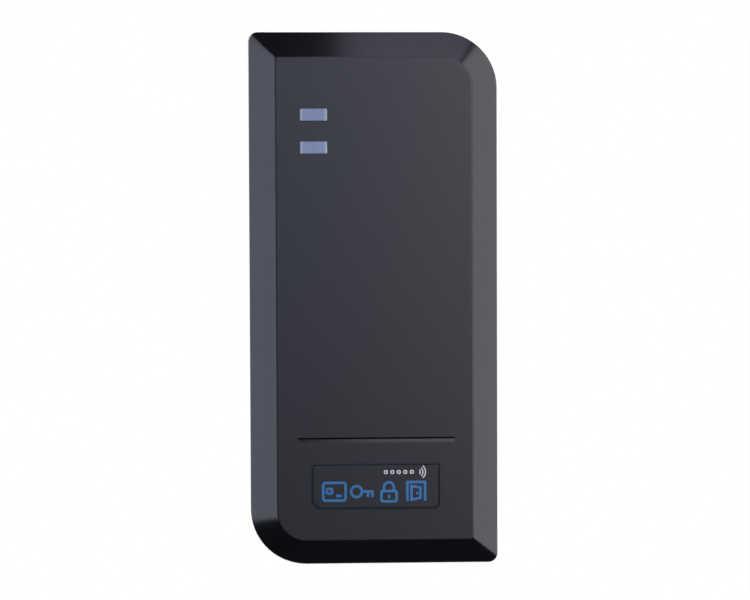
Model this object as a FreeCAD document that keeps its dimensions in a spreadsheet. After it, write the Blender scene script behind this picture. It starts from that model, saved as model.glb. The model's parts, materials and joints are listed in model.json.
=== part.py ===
"""Wall reader for contactless access cards, as an assembly of separate pieces.

Units are millimetres. +X points right as seen from the front, +Y into the wall and +Z up. The origin is on the
wall, in the middle of the wall plate's rear face. "Depth" is the distance from the wall towards the front, so a
point at depth 23 has Y = -23. The casing stands on its narrow end, with a large radius on two opposite corners.
"""

import FreeCAD, Part
import math
import os

import Sketcher
from FreeCAD import Placement, Rotation, Vector

# Driving dimensions: alias in the sheet, value, meaning.
SIZES = (
    ("outer_width", 48.0, "casing, left to right"),
    ("outer_height", 103.0, "casing, top to bottom"),
    ("outer_depth", 23.0, "wall to front face"),
    ("wall_gap", 0.4, "casing's rear edge clear of the wall"),
    ("big_corner", 10.8, "top right and bottom left corner"),
    ("small_corner", 1.8, "top left and bottom right corner"),
    ("face_corner", 0.6, "the same two corners on the front face"),
    ("bevel_width", 5.15, "bevel, seen from the front"),
    ("bevel_rise", 4.6, "bevel, along the depth"),
    ("rear_round", 0.8, "rounding of the casing's rear edge, which the reader rolls on"),
    ("bevel_round", 0.5, "rounding between sides and bevel"),
    ("face_round", 0.5, "rounding between bevel and front face"),
    ("front_wall", 2.2, "casing behind the front face"),
    ("skirt_wall", 2.0, "casing around the wall plate"),
    ("inner_corner", 1.0, "tight corners of the rooms and covers inside"),
    ("room_narrowing", 2.0, "how far the electronics room narrows under the bevel"),
    ("side_wall", 3.8, "casing around the electronics"),
    ("ledge_depth", 7.4, "seat of the gasket"),
    ("bay_top", -39.6, "partition between lock bay and electronics, lower side"),
    ("room_bottom", -36.2, "partition, upper side"),
    ("bay_rib", 9.0, "side pockets of the lock bay, off the centre line"),
    ("bay_depth", 13.0, "end of the lock bay's middle pocket"),
    ("side_bay_depth", 17.0, "end of its side pockets"),
    ("led_width", 5.35, "light window"),
    ("led_height", 2.55, "light window"),
    ("led_across", -11.6, "centre of both light windows"),
    ("led_upper", 35.4, "centre of the upper light window"),
    ("led_pitch", 6.27, "from one light window to the next"),
    ("led_corner", 0.4, "light window"),
    ("lens_gap", 0.06, "light guide in its window"),
    ("lens_proud", 0.1, "light guide in front of the face"),
    ("flange_width", 6.4, "light guide's flange"),
    ("flange_height", 3.6, "light guide's flange"),
    ("stem_width", 4.0, "light guide's stem"),
    ("stem_height", 1.8, "light guide's stem"),
    ("badge_width", 24.9, "nameplate recess"),
    ("badge_height", 9.05, "nameplate recess"),
    ("badge_across", 0.0, "centre of the nameplate"),
    ("badge_up", -35.95, "centre of the nameplate"),
    ("badge_recess", 0.8, "depth of the nameplate recess"),
    ("badge_gap", 0.4, "gap around the nameplate"),
    ("badge_sunk", 0.1, "nameplate behind the face"),
    ("badge_round_top", 0.6, "nameplate recess, upper corners"),
    ("badge_round_left", 2.2, "nameplate recess, lower left corner"),
    ("badge_round_right", 1.2, "nameplate recess, lower right corner"),
    ("groove_length", 30.2, "line engraved across the face"),
    ("groove_across", 0.25, "centre of the line"),
    ("groove_up", -27.0, "height of the line"),
    ("groove_width", 1.1, "line"),
    ("groove_sink", 0.3, "line"),
    ("groove_lean", 0.18, "deepest point of the line above its centre"),
    ("plate_thick", 2.4, "wall plate"),
    ("plate_gap", 0.5, "wall plate inside the skirt"),
    ("plate_corner", 1.3, "wall plate, tight corners"),
    ("slot_width", 4.2, "wall screw slot"),
    ("slot_length", 8.0, "wall screw slot, end to end"),
    ("slot_margin", 2.2, "seat around a wall screw slot"),
    ("slot_pitch", 60.0, "between the two wall screws"),
    ("window_side", 16.0, "cable window in the wall plate"),
    ("field_depth", 0.9, "shallow fields in the wall plate's rear face"),
    ("field_inner", 6.5, "fields, inner end from the centre line"),
    ("field_outer", 18.0, "fields, outer end from the centre line"),
    ("field_rib", 2.4, "between a field and the cable window"),
    ("cable_up", 13.0, "centre of the cable window and the grommet"),
    ("tongue_width", 8.0, "hook tongue"),
    ("tongue_across", 9.0, "hook tongue, off the centre line"),
    ("tongue_back", 2.6, "hook tongue, rear face"),
    ("tongue_front", 4.0, "hook tongue, front face"),
    ("tongue_top", 50.5, "hook tongue"),
    ("lock_depth", 7.2, "axis of the lock screw"),
    ("lock_head_low", -51.2, "lock screw's head, backed out"),
    ("lock_head_high", 1.6, "height of the lock screw's head"),
    ("lock_head_round", 2.75, "radius of the lock screw's head"),
    ("lock_shank", 1.5, "radius of the lock screw"),
    ("lock_length", 5.7, "lock screw under its head"),
    ("lock_travel", 3.0, "lock screw, from backed out to tight"),
    ("lock_clear", 0.05, "between washer and seat when the lock screw is tight"),
    ("washer_thick", 0.5, "captive washer"),
    ("lock_boss_round", 4.5, "radius of the lock screw's boss"),
    ("socket_flats", 2.0, "lock screw's hexagon socket"),
    ("socket_pin_round", 0.35, "radius of the pin in the socket"),
    ("lug_low", -43.0, "locking lug, lower face"),
    ("lug_high", -40.0, "locking lug, upper face"),
    ("lug_width", 11.0, "locking lug"),
    ("lug_front", 10.8, "locking lug"),
    ("insert_round", 2.2, "radius of the brass insert"),
    ("cover_back", 4.6, "rear cover, outer face"),
    ("cover_thick", 2.0, "rear cover"),
    ("cover_gap", 0.3, "rear cover inside the skirt"),
    ("gasket_gap", 0.4, "gasket inside the skirt"),
    ("gasket_width", 1.0, "gasket"),
    ("label_width", 30.0, "label recess in the rear cover"),
    ("label_height", 16.0, "label recess in the rear cover"),
    ("label_up", -22.0, "centre of the label"),
    ("label_sink", 0.2, "label recess"),
    ("grommet_neck", 4.5, "radius of the grommet in the rear cover"),
    ("grommet_rim", 6.2, "radius of the grommet's flanges"),
    ("boss_round", 2.5, "radius of a cover screw's boss"),
    ("boss_across", 17.9, "cover screws, off the centre line"),
    ("boss_right", 16.6, "top right cover screw, inside the large corner"),
    ("boss_top", 45.4, "top left cover screw"),
    ("boss_top_right", 44.1, "top right cover screw"),
    ("boss_low", -33.9, "lower cover screws"),
    ("pilot_round", 0.95, "radius of a tapping screw's hole"),
    ("screw_head_round", 2.1, "radius of a tapping screw's head"),
    ("screw_hole_round", 1.3, "radius of a tapping screw's clearance hole"),
    ("screw_sink_round", 2.4, "radius of the seat for a cover screw's head"),
    ("screw_sink", 0.8, "the same seat"),
    ("cover_screw_length", 7.0, "under its head"),
    ("board_screw_length", 5.0, "under its head"),
    ("board_back", 11.4, "circuit board, rear side"),
    ("board_thick", 1.6, "circuit board"),
    ("board_width", 38.8, "circuit board"),
    ("board_top", 41.2, "circuit board"),
    ("board_low", -30.8, "circuit board"),
    ("post_round", 2.2, "radius of a board post"),
    ("post_across", 16.6, "upper board posts, off the centre line"),
    ("post_up", 38.7, "upper board posts"),
    ("post_low_across", 11.0, "lower board posts, off the centre line"),
    ("post_low", -26.4, "lower board posts"),
    ("coil_back", 16.2, "coil former, rear side"),
    ("coil_front", 20.4, "coil former, front side"),
    ("coil_width", 36.0, "coil former"),
    ("coil_top", 26.0, "coil former"),
    ("coil_low", -33.0, "coil former"),
    ("coil_corner", 6.0, "coil former, outer corner"),
    ("coil_band", 3.8, "coil former, width of its flanges"),
    ("flange_thick", 0.8, "coil former's flanges and core"),
    ("coil_slack", 0.4, "winding short of the flanges' rim"),
    ("peg_round", 1.0, "radius of a coil peg"),
    ("peg_pad_round", 1.75, "radius of the pad under a coil peg"),
    ("tab_side", 4.2, "coil former's fixing tab"),
    ("tab_thick", 1.0, "coil former's fixing tab"),
    ("peg_across", 12.2, "coil pegs, off the centre line"),
    ("peg_up", 15.0, "upper coil pegs"),
    ("peg_low", -19.5, "lower coil pegs"),
    ("cable_round", 2.6, "radius of the cable's hole"),
)

FRONT = "XZ_Plane"  # its normal points to the front, so an offset from it is a depth
LEVEL = "XY_Plane"
SIDE = "YZ_Plane"
START, END, CENTRE = 1, 2, 3  # Sketcher's numbers for the points of a line or an arc
SMALLEST_CHANGE = 1e-3  # cubic millimetres that a feature has to add or remove


class Size:
    """A number together with the spreadsheet expression that gives it."""

    def __init__(self, value, text):
        self.value = value
        self.text = text

    def __add__(self, other):
        other = as_size(other)
        return Size(self.value + other.value, f"({self.text} + {other.text})")

    def __sub__(self, other):
        other = as_size(other)
        return Size(self.value - other.value, f"({self.text} - {other.text})")

    def __mul__(self, other):
        other = as_size(other)
        return Size(self.value * other.value, f"({self.text} * {other.text})")

    def __truediv__(self, other):
        other = as_size(other)
        return Size(self.value / other.value, f"({self.text} / {other.text})")

    def __radd__(self, other):
        return as_size(other) + self

    def __rsub__(self, other):
        return as_size(other) - self

    def __rmul__(self, other):
        return as_size(other) * self

    def __neg__(self):
        return Size(-self.value, f"(0 - {self.text})")


def as_size(number):
    return number if isinstance(number, Size) else Size(float(number), repr(number))


class Sheet:
    """The document's spreadsheet: each driving dimension is an attribute that holds its Size."""

    def __init__(self, document):
        sheet = document.addObject("Spreadsheet::Sheet", "Sizes")
        for row, (name, value, meaning) in enumerate(SIZES, start=1):
            sheet.set(f"A{row}", name)
            sheet.set(f"B{row}", str(value))
            sheet.set(f"C{row}", meaning)
            sheet.setAlias(f"B{row}", name)
            setattr(self, name, Size(value, "Sizes." + name))


doc = FreeCAD.newDocument("CardReader")
s = Sheet(doc)
doc.recompute()
nodes = []  # every sub-part that is written to a file

# Depths and half sizes that several pieces share.
half_width = s.outer_width / 2
half_height = s.outer_height / 2
bevel_start = s.outer_depth - s.bevel_rise
room_front = s.outer_depth - s.front_wall
cover_front = s.cover_back + s.cover_thick
board_front = s.board_back + s.board_thick
lock_head_top = s.lock_head_low + s.lock_head_high
lock_seat = lock_head_top + s.washer_thick + s.lock_travel + s.lock_clear
bay_floor = -(half_height - 2.5)
plate_inset = s.skirt_wall + s.plate_gap
led_lower = s.led_upper - s.led_pitch
lens_front = s.outer_depth + s.lens_proud
badge_floor = s.outer_depth - s.badge_recess
badge_front = s.outer_depth - s.badge_sunk


# ---------------------------------------------------------------- sketches and features


def bind(thing, name, size):
    """Binds a property to the sheet's expression for a size."""
    thing.setExpression(name, as_size(size).text)


class Drawing:
    """A fully constrained sketch on one of a body's own origin planes, moved along the plane's normal."""

    def __init__(self, body, name, plane, offset):
        self.sketch = body.newObject("Sketcher::SketchObject", name)
        origin_plane = [f for f in body.Origin.OriginFeatures if f.Role == plane][0]
        self.sketch.AttachmentSupport = (origin_plane, [""])
        self.sketch.MapMode = "FlatFace"
        bind(self.sketch, "AttachmentOffset.Base.z", offset)

    def dimension(self, size, kind, *where):
        size = as_size(size)
        index = self.sketch.addConstraint(Sketcher.Constraint(kind, *where, size.value))
        self.sketch.setExpression(f"Constraints[{index}]", size.text)

    def pin(self, geometry, end, x=None, y=None):
        """Holds a point of a line or an arc at x and y from the sketch's origin."""
        if x is not None:
            self.dimension(x, "DistanceX", geometry, end)
        if y is not None:
            self.dimension(y, "DistanceY", geometry, end)

    def polygon(self, corners):
        first = self.sketch.GeometryCount
        count = len(corners)
        points = [Vector(as_size(x).value, as_size(y).value, 0) for x, y in corners]
        for i in range(count):
            self.sketch.addGeometry(Part.LineSegment(points[i], points[(i + 1) % count]))
        for i in range(count):
            following = first + (i + 1) % count
            self.sketch.addConstraint(Sketcher.Constraint("Coincident", first + i, END, following, START))
        for i, (x, y) in enumerate(corners):
            self.pin(first + i, START, x, y)

    def rectangle(self, left, right, low, high):
        self.polygon([(left, low), (right, low), (right, high), (left, high)])

    def circle(self, x, y, radius):
        centre = Vector(as_size(x).value, as_size(y).value, 0)
        ring = self.sketch.addGeometry(Part.Circle(centre, Vector(0, 0, 1), as_size(radius).value))
        self.dimension(radius, "Radius", ring)
        self.pin(ring, CENTRE, x, y)

    def rounded(self, left, right, low, high, low_right, high_right, high_left, low_left):
        """A rectangle with a radius of its own on each corner, named by where the corner is."""
        first = self.sketch.GeometryCount
        x0, x1, y0, y1 = [as_size(v).value for v in (left, right, low, high)]
        a, b, c, d = [as_size(v).value for v in (low_right, high_right, high_left, low_left)]
        quarter = math.pi / 2
        up = Vector(0, 0, 1)

        def line(ax, ay, bx, by):
            return Part.LineSegment(Vector(ax, ay, 0), Vector(bx, by, 0))

        def arc(x, y, radius, turn):
            return Part.ArcOfCircle(Part.Circle(Vector(x, y, 0), up, radius), turn * quarter, (turn + 1) * quarter)

        shapes = [
            line(x0 + d, y0, x1 - a, y0),
            arc(x1 - a, y0 + a, a, -1),
            line(x1, y0 + a, x1, y1 - b),
            arc(x1 - b, y1 - b, b, 0),
            line(x1 - b, y1, x0 + c, y1),
            arc(x0 + c, y1 - c, c, 1),
            line(x0, y1 - c, x0, y0 + d),
            arc(x0 + d, y0 + d, d, 2),
        ]
        self.sketch.addGeometry(shapes, False)
        for i in range(8):
            following = first + (i + 1) % 8
            self.sketch.addConstraint(Sketcher.Constraint("Tangent", first + i, END, following, START))
        for i in (0, 4):
            self.sketch.addConstraint(Sketcher.Constraint("Horizontal", first + i))
            self.sketch.addConstraint(Sketcher.Constraint("Vertical", first + i + 2))
        for i, radius in zip((1, 3, 5, 7), (low_right, high_right, high_left, low_left)):
            self.dimension(radius, "Radius", first + i)
        self.pin(first, START, y=low)
        self.pin(first + 2, START, x=right)
        self.pin(first + 4, START, y=high)
        self.pin(first + 6, START, x=left)

    def slot(self, x, y, width, length):
        """An upright slot with round ends."""
        first = self.sketch.GeometryCount
        radius = width / 2
        reach = length / 2 - radius
        mid_x = as_size(x).value
        top, low = (y + reach).value, (y - reach).value
        up = Vector(0, 0, 1)
        right, left = mid_x + radius.value, mid_x - radius.value
        self.sketch.addGeometry(Part.ArcOfCircle(Part.Circle(Vector(mid_x, top, 0), up, radius.value), 0, math.pi))
        self.sketch.addGeometry(Part.LineSegment(Vector(left, top, 0), Vector(left, low, 0)))
        bottom = Part.Circle(Vector(mid_x, low, 0), up, radius.value)
        self.sketch.addGeometry(Part.ArcOfCircle(bottom, math.pi, 2 * math.pi))
        self.sketch.addGeometry(Part.LineSegment(Vector(right, low, 0), Vector(right, top, 0)))
        for i in range(4):
            following = first + (i + 1) % 4
            self.sketch.addConstraint(Sketcher.Constraint("Tangent", first + i, END, following, START))
        self.sketch.addConstraint(Sketcher.Constraint("Equal", first, first + 2))
        self.dimension(radius, "Radius", first)
        self.pin(first, CENTRE, x, y + reach)
        self.pin(first + 2, CENTRE, x, y - reach)


def new_body(label, place=None):
    """An empty body; place is the (x, depth, z) of its own origin."""
    body = doc.addObject("PartDesign::Body", label)
    body.Label = label
    if place is not None:
        x, depth, z = place
        bind(body, "Placement.Base.x", x)
        bind(body, "Placement.Base.y", -as_size(depth))
        bind(body, "Placement.Base.z", z)
    return body


def keep(body):
    """Merges a body's split faces and marks it to be written to a file of its own."""
    if body.TypeId == "PartDesign::Body":
        body.Tip.Refine = True
        doc.recompute()
    nodes.append(body)
    return body


def volume(body):
    return 0.0 if body.Tip is None or body.Shape.isNull() else body.Shape.Volume


def add_feature(body, kind, name):
    """A new feature that leaves split faces alone: finish() merges them all at the end."""
    feature = body.newObject("PartDesign::" + kind, name)
    feature.Refine = False
    return feature


def settle(body, feature, before):
    """Recomputes, and stops if the feature failed or changed nothing."""
    doc.recompute()
    if feature.State != ["Up-to-date"]:
        raise RuntimeError(f"{body.Label}: {feature.Name} is {feature.State}")
    if abs(volume(body) - before) < SMALLEST_CHANGE:
        raise RuntimeError(f"{body.Label}: {feature.Name} changed nothing")
    return feature


def prism(body, name, draw, low, high, cut=False, plane=FRONT):
    """Adds, or cuts away, what draw() draws, from one offset of the plane to another."""
    before = volume(body)
    drawing = Drawing(body, name + "_sketch", plane, high if cut else low)
    draw(drawing)
    feature = add_feature(body, "Pocket" if cut else "Pad", name)
    feature.Profile = drawing.sketch
    bind(feature, "Length", as_size(high) - low)
    return settle(body, feature, before)


def loft(body, name, sections, cut=False):
    """A ruled solid through outlines at several depths; sections are (depth, draw) pairs."""
    before = volume(body)
    drawings = []
    for number, (depth, draw) in enumerate(sections, start=1):
        drawing = Drawing(body, f"{name}_sketch_{number}", FRONT, depth)
        draw(drawing)
        drawings.append(drawing.sketch)
    doc.recompute()
    feature = add_feature(body, "SubtractiveLoft" if cut else "AdditiveLoft", name)
    feature.Profile = drawings[0]
    feature.Sections = drawings[1:]
    feature.Ruled = True
    return settle(body, feature, before)


def turned(body, name, corners, plane=LEVEL, cut=False):
    """Adds, or cuts, a half section turned about the body's depth axis, or about Z on the FRONT plane."""
    before = volume(body)
    drawing = Drawing(body, name + "_sketch", plane, 0)
    drawing.polygon(corners)
    feature = add_feature(body, "Groove" if cut else "Revolution", name)
    feature.Profile = drawing.sketch
    feature.ReferenceAxis = (drawing.sketch, ["V_Axis"])
    feature.Angle = 360
    return settle(body, feature, before)


def edges_of(feature, wanted):
    """Names of a feature's edges whose every sampled point passes a test."""
    names = []
    for number, edge in enumerate(feature.Shape.Edges, start=1):
        first, last = edge.FirstParameter, edge.LastParameter
        points = [edge.valueAt(first + share * (last - first)) for share in (0.0, 0.3, 0.5, 1.0)]
        if all(wanted(p) for p in points):
            names.append(f"Edge{number}")
    return names


def dress(body, kind, name, wanted, size):
    """Rounds (Fillet) or chamfers (Chamfer) the edges that pass a test."""
    base = body.Tip
    before = volume(body)
    names = edges_of(base, wanted)
    feature = add_feature(body, kind, name)
    feature.Base = (base, names)
    bind(feature, "Radius" if kind == "Fillet" else "Size", size)
    return settle(body, feature, before)


def at_depth(depth, tolerance=1e-4):
    """A test for points at a depth."""
    return lambda point: abs(point.y + as_size(depth).value) < tolerance


def pattern_up(body, feature, name, count, pitch):
    """Repeats a feature along Z."""
    before = volume(body)
    pattern = add_feature(body, "LinearPattern", name)
    pattern.Originals = [feature]
    axis = [f for f in body.Origin.OriginFeatures if f.Role == "Z_Axis"][0]
    pattern.Direction = (axis, [""])
    pattern.Occurrences = count
    bind(pattern, "Length", as_size(pitch) * (count - 1))
    body.Tip = pattern
    return settle(body, pattern, before)


def group(label, master, places):
    """Separate copies of one solid in one node; places are the (x, depth, z) of each copy's origin."""
    doc.recompute()
    copies = []
    for x, depth, z in places:
        copy = master.Shape.copy()
        copy.Placement = Placement(Vector(x.value, -depth.value, z.value), Rotation()).multiply(copy.Placement)
        copies.append(copy)
    node = doc.addObject("Part::Feature", label)
    node.Label = label
    node.Shape = Part.makeCompound(copies)
    return keep(node)


# ---------------------------------------------------------------- outlines; each returns a function that draws one


def block(left, right, low, high):
    return lambda drawing: drawing.rectangle(left, right, low, high)


def pad(left, right, low, high, corner):
    """A rectangle with the same radius on all four corners."""
    return lambda drawing: drawing.rounded(left, right, low, high, corner, corner, corner, corner)


def centred(across, up, width, height, corner):
    """The same, given by its centre and its size."""
    across, up = as_size(across), as_size(up)
    return pad(across - width / 2, across + width / 2, up - height / 2, up + height / 2, corner)


def circle(x, y, radius):
    return lambda drawing: drawing.circle(x, y, radius)


def several(*draws):
    """Several outlines in one sketch; one inside another makes a hole in it."""

    def draw(drawing):
        for each in draws:
            each(drawing)

    return draw


def circles(places, radius):
    return several(*[circle(x, z, radius) for x, z in places])


def casing(inset, small):
    """The casing's outline, moved in; small is the radius of its two tight corners."""
    right, top, big = half_width - inset, half_height - inset, s.big_corner - inset
    return lambda drawing: drawing.rounded(-right, right, -top, top, small, big, small, big)


def room(inset, low, small):
    """The outline of the electronics room, which ends above the lock bay."""
    right, top, big = half_width - inset, half_height - inset, s.big_corner - inset
    return lambda drawing: drawing.rounded(-right, right, low, top, small, big, small, small)


def nameplate(inset):
    """The nameplate's outline, whose lower left corner is rounder, like the casing's."""
    half_across, half_up = s.badge_width / 2 - inset, s.badge_height / 2 - inset
    left, right = s.badge_across - half_across, s.badge_across + half_across
    low, high = s.badge_up - half_up, s.badge_up + half_up
    round_left, round_right = s.badge_round_left - inset, s.badge_round_right - inset
    return lambda drawing: drawing.rounded(
        left, right, low, high, round_right, s.badge_round_top, s.badge_round_top, round_left
    )


def coil_outline(inward):
    """The coil former's outline, moved in."""
    right = s.coil_width / 2 - inward
    return pad(-right, right, s.coil_low + inward, s.coil_top - inward, s.coil_corner - inward)


def cover_screw_places():
    """x and z of the rear cover's four screws."""
    return (
        (-s.boss_across, s.boss_top),
        (s.boss_right, s.boss_top_right),
        (-s.boss_across, s.boss_low),
        (s.boss_across, s.boss_low),
    )


def board_screw_places():
    """x and z of the circuit board's four screws."""
    return (
        (-s.post_across, s.post_up),
        (s.post_across, s.post_up),
        (-s.post_low_across, s.post_low),
        (s.post_low_across, s.post_low),
    )


def coil_peg_places():
    """x and z of the four pegs that the coil former sits on."""
    return [(side * s.peg_across, z) for side in (-1, 1) for z in (s.peg_up, s.peg_low)]


def tongue_places():
    """Name and x of the wall plate's two hook tongues."""
    return (("left", -s.tongue_across), ("right", s.tongue_across))


def plate_fields():
    """Left, right, low and high of the shallow fields in the wall plate's rear face, which leave ribs between them."""
    beside_window = s.window_side / 2 + s.field_rib
    bands = [(-45, -36, s.field_inner), (-33.6, -18, s.field_inner), (-15.6, 1.8, s.field_inner),
             (4.2, 21.8, beside_window), (24.2, 39, s.field_inner), (41.4, 46.2, s.field_inner)]
    on_right = [(inner, s.field_outer, low, high) for low, high, inner in bands]
    on_left = [(-s.field_outer, -inner, low, high) for low, high, inner in bands]
    return on_right + on_left


# ---------------------------------------------------------------- casing


def make_front_housing():
    """The one-piece casing: sides, bevel, face, posts and bosses inside, and the lock bay at the bottom."""
    body = new_body("front_housing")
    prism(body, "sides", casing(as_size(0), s.small_corner), s.wall_gap, bevel_start)
    bevel_foot = (bevel_start, casing(as_size(0), s.small_corner))
    bevel_top = (s.outer_depth, casing(s.bevel_width, s.face_corner))
    loft(body, "bevel", [bevel_foot, bevel_top])
    dress(body, "Fillet", "round_rear_edge", at_depth(s.wall_gap), s.rear_round)
    dress(body, "Fillet", "round_bevel_edge", at_depth(bevel_start), s.bevel_round)
    dress(body, "Fillet", "round_face_edge", at_depth(s.outer_depth), s.face_round)

    hollow_casing(body)
    add_bosses(body)
    add_lock_bay(body)
    cut_hook_pockets(body)
    cut_face(body)
    return keep(body)


def hollow_casing(body):
    """The skirt around the wall plate and the electronics room, which narrows under the bevel."""
    prism(body, "skirt_recess", casing(s.skirt_wall, s.inner_corner), 0, s.ledge_depth, cut=True)
    wide = room(s.side_wall, s.room_bottom, s.inner_corner)
    narrow = room(s.side_wall + s.room_narrowing, s.room_bottom + s.room_narrowing / 2, s.inner_corner)
    prism(body, "room", wide, s.ledge_depth - 1, bevel_start, cut=True)
    loft(body, "room_front", [(bevel_start, wide), (room_front, narrow)], cut=True)


def add_bosses(body):
    """Bosses for the cover screws, posts for the board and pegs for the coil, with their pilot holes."""
    inside_wall = room_front + 0.2
    prism(body, "cover_bosses", circles(cover_screw_places(), s.boss_round), cover_front, inside_wall)
    prism(body, "board_posts", circles(board_screw_places(), s.post_round), board_front, inside_wall)
    prism(body, "coil_pegs", circles(coil_peg_places(), s.peg_round), s.coil_back - 0.6, inside_wall)
    pads = circles(coil_peg_places(), s.peg_pad_round)
    prism(body, "coil_pads", pads, s.coil_back + s.tab_thick, inside_wall)
    pilots = circles(cover_screw_places(), s.pilot_round)
    prism(body, "cover_pilots", pilots, cover_front - 1, cover_front + s.cover_screw_length, cut=True)
    pilots = circles(board_screw_places(), s.pilot_round)
    prism(body, "board_pilots", pilots, board_front - 1, board_front + s.board_screw_length, cut=True)


def add_lock_bay(body):
    """Pockets below the partition, and the boss that the lock screw goes up through."""
    far, near, mouth = half_width - s.side_wall, s.bay_rib, s.ledge_depth - 1
    middle = s.lug_width / 2 + 2
    prism(body, "lug_pocket", pad(-middle, middle, bay_floor, s.bay_top, 0.5), mouth, s.bay_depth, cut=True)
    big = s.big_corner - s.side_wall
    left = lambda drawing: drawing.rounded(-far, -near, bay_floor, s.bay_top, 0.5, 0.5, 0.5, big)
    prism(body, "left_bay_pocket", left, mouth, s.side_bay_depth, cut=True)
    prism(body, "right_bay_pocket", pad(near, far, bay_floor, s.bay_top, 0.5), mouth, s.side_bay_depth, cut=True)

    boss_top = lock_seat + 1.5
    boss = circle(0, -s.lock_depth, s.lock_boss_round)
    prism(body, "lock_boss", boss, bay_floor - 1, boss_top, plane=LEVEL)
    hole = circle(0, -s.lock_depth, s.lock_shank + 0.2)
    prism(body, "lock_hole", hole, -half_height, boss_top + 1, cut=True, plane=LEVEL)
    sink = circle(0, -s.lock_depth, s.lock_head_round + 0.3)
    prism(body, "lock_sink", sink, -half_height - 1, lock_seat, cut=True, plane=LEVEL)


def cut_hook_pockets(body):
    """Pockets in the top wall that the wall plate's two tongues reach up into."""
    side = s.tongue_width / 2 + 0.4
    for name, across in tongue_places():
        pocket = block(across - side, across + side, half_height - 2.5, s.tongue_top + 0.4)
        prism(body, name + "_hook_pocket", pocket, s.skirt_wall, s.tongue_front + 0.7, cut=True)


def cut_face(body):
    """Light windows, nameplate recess and the engraved line."""
    for name, up in (("upper", s.led_upper), ("lower", led_lower)):
        opening = centred(s.led_across, up, s.led_width, s.led_height, s.led_corner)
        prism(body, name + "_light_window", opening, room_front - 1, s.outer_depth + 1, cut=True)
    prism(body, "badge_recess", nameplate(as_size(0)), badge_floor, s.outer_depth + 1, cut=True)

    above = 0.2
    slope = above / s.groove_sink.value
    steep, gentle = s.groove_width / 2 - s.groove_lean, s.groove_width / 2 + s.groove_lean
    mouth, bottom = -s.outer_depth - above, -s.outer_depth + s.groove_sink
    corners = [
        (mouth, s.groove_up + s.groove_width / 2 + steep * slope),
        (mouth, s.groove_up - s.groove_width / 2 - gentle * slope),
        (bottom, s.groove_up + s.groove_lean),
    ]
    left, right = s.groove_across - s.groove_length / 2, s.groove_across + s.groove_length / 2
    prism(body, "groove", lambda drawing: drawing.polygon(corners), left, right, cut=True, plane=SIDE)


def make_rear_cover():
    """The plate that closes the electronics room, screwed to the bosses with the gasket under its rim."""
    body = new_body("rear_cover")
    outline = room(s.skirt_wall + s.cover_gap, s.bay_top + s.cover_gap, s.inner_corner)
    prism(body, "plate", outline, s.cover_back, cover_front)
    behind, before = s.cover_back - 1, cover_front + 1
    prism(body, "screw_holes", circles(cover_screw_places(), s.screw_hole_round), behind, before, cut=True)
    sinks = circles(cover_screw_places(), s.screw_sink_round)
    prism(body, "screw_sinks", sinks, behind, s.cover_back + s.screw_sink, cut=True)
    prism(body, "grommet_hole", circle(0, s.cable_up, s.grommet_neck), behind, before, cut=True)
    recess = centred(0, s.label_up, s.label_width, s.label_height, 1.0)
    prism(body, "label_recess", recess, behind, s.cover_back + s.label_sink, cut=True)
    return keep(body)


def make_cover_gasket():
    """A flat seal on the casing's ledge, outside the cover screws."""
    body = new_body("cover_gasket")
    rim, inner = s.skirt_wall + s.gasket_gap, s.skirt_wall + s.gasket_gap + s.gasket_width
    outside = room(rim, s.bay_top + s.gasket_gap + 0.2, s.inner_corner)
    inside = room(inner, s.bay_top + s.gasket_gap + 0.2 + s.gasket_width, s.inner_corner)
    prism(body, "ring", several(outside, inside), cover_front, s.ledge_depth)
    return keep(body)


def make_tapping_screw(label, length):
    """A pan-head tapping screw with a cross recess; its origin is under the head and it points to the front."""
    body = new_body(label)
    shank, head, tip = s.pilot_round, s.screw_head_round, -length
    half_section = [
        (0, 1.4), (head - 0.8, 1.4), (head, 0.7), (head, 0),
        (shank, 0), (shank, tip + 1), (0.2, tip), (0, tip),
    ]
    turned(body, "turned", half_section)
    arm, thick = 1.1, 0.22
    cross = [
        (-arm, -thick), (-thick, -thick), (-thick, -arm), (thick, -arm), (thick, -thick), (arm, -thick),
        (arm, thick), (thick, thick), (thick, arm), (-thick, arm), (-thick, thick), (-arm, thick),
    ]
    prism(body, "cross_recess", lambda drawing: drawing.polygon(cross), -2.0, -0.6, cut=True)
    return body


def make_screws():
    """Four screws for the rear cover, with sunk heads, and four for the board."""
    cover_screw = make_tapping_screw("cover_screw_master", s.cover_screw_length)
    seat = s.cover_back + s.screw_sink
    group("cover_screws", cover_screw, [(x, seat, z) for x, z in cover_screw_places()])
    board_screw = make_tapping_screw("board_screw_master", s.board_screw_length)
    group("board_screws", board_screw, [(x, s.board_back, z) for x, z in board_screw_places()])


def make_cable_grommet():
    """A rubber grommet in the rear cover, which the cable passes through."""
    body = new_body("cable_grommet", (0, s.cover_back, s.cable_up))
    bore, neck, rim = s.cable_round, s.grommet_neck, s.grommet_rim
    soft, flange = rim - 1.2, 0.7
    front = -s.cover_thick
    half_section = [
        (bore, 2 * flange), (soft, 2 * flange), (rim, flange), (rim, 0), (neck, 0),
        (neck, front), (rim, front), (rim, front - flange + 0.1), (soft, front - 1.2), (bore, front - 1.2),
    ]
    turned(body, "turned", half_section)
    return keep(body)


def make_rear_label():
    """A blank type label in its shallow recess on the rear cover."""
    body = new_body("rear_label")
    film = centred(0, s.label_up, s.label_width - 0.6, s.label_height - 0.6, 0.8)
    prism(body, "film", film, s.cover_back + 0.05, s.cover_back + s.label_sink)
    return keep(body)


# ---------------------------------------------------------------- wall plate and lock


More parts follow.
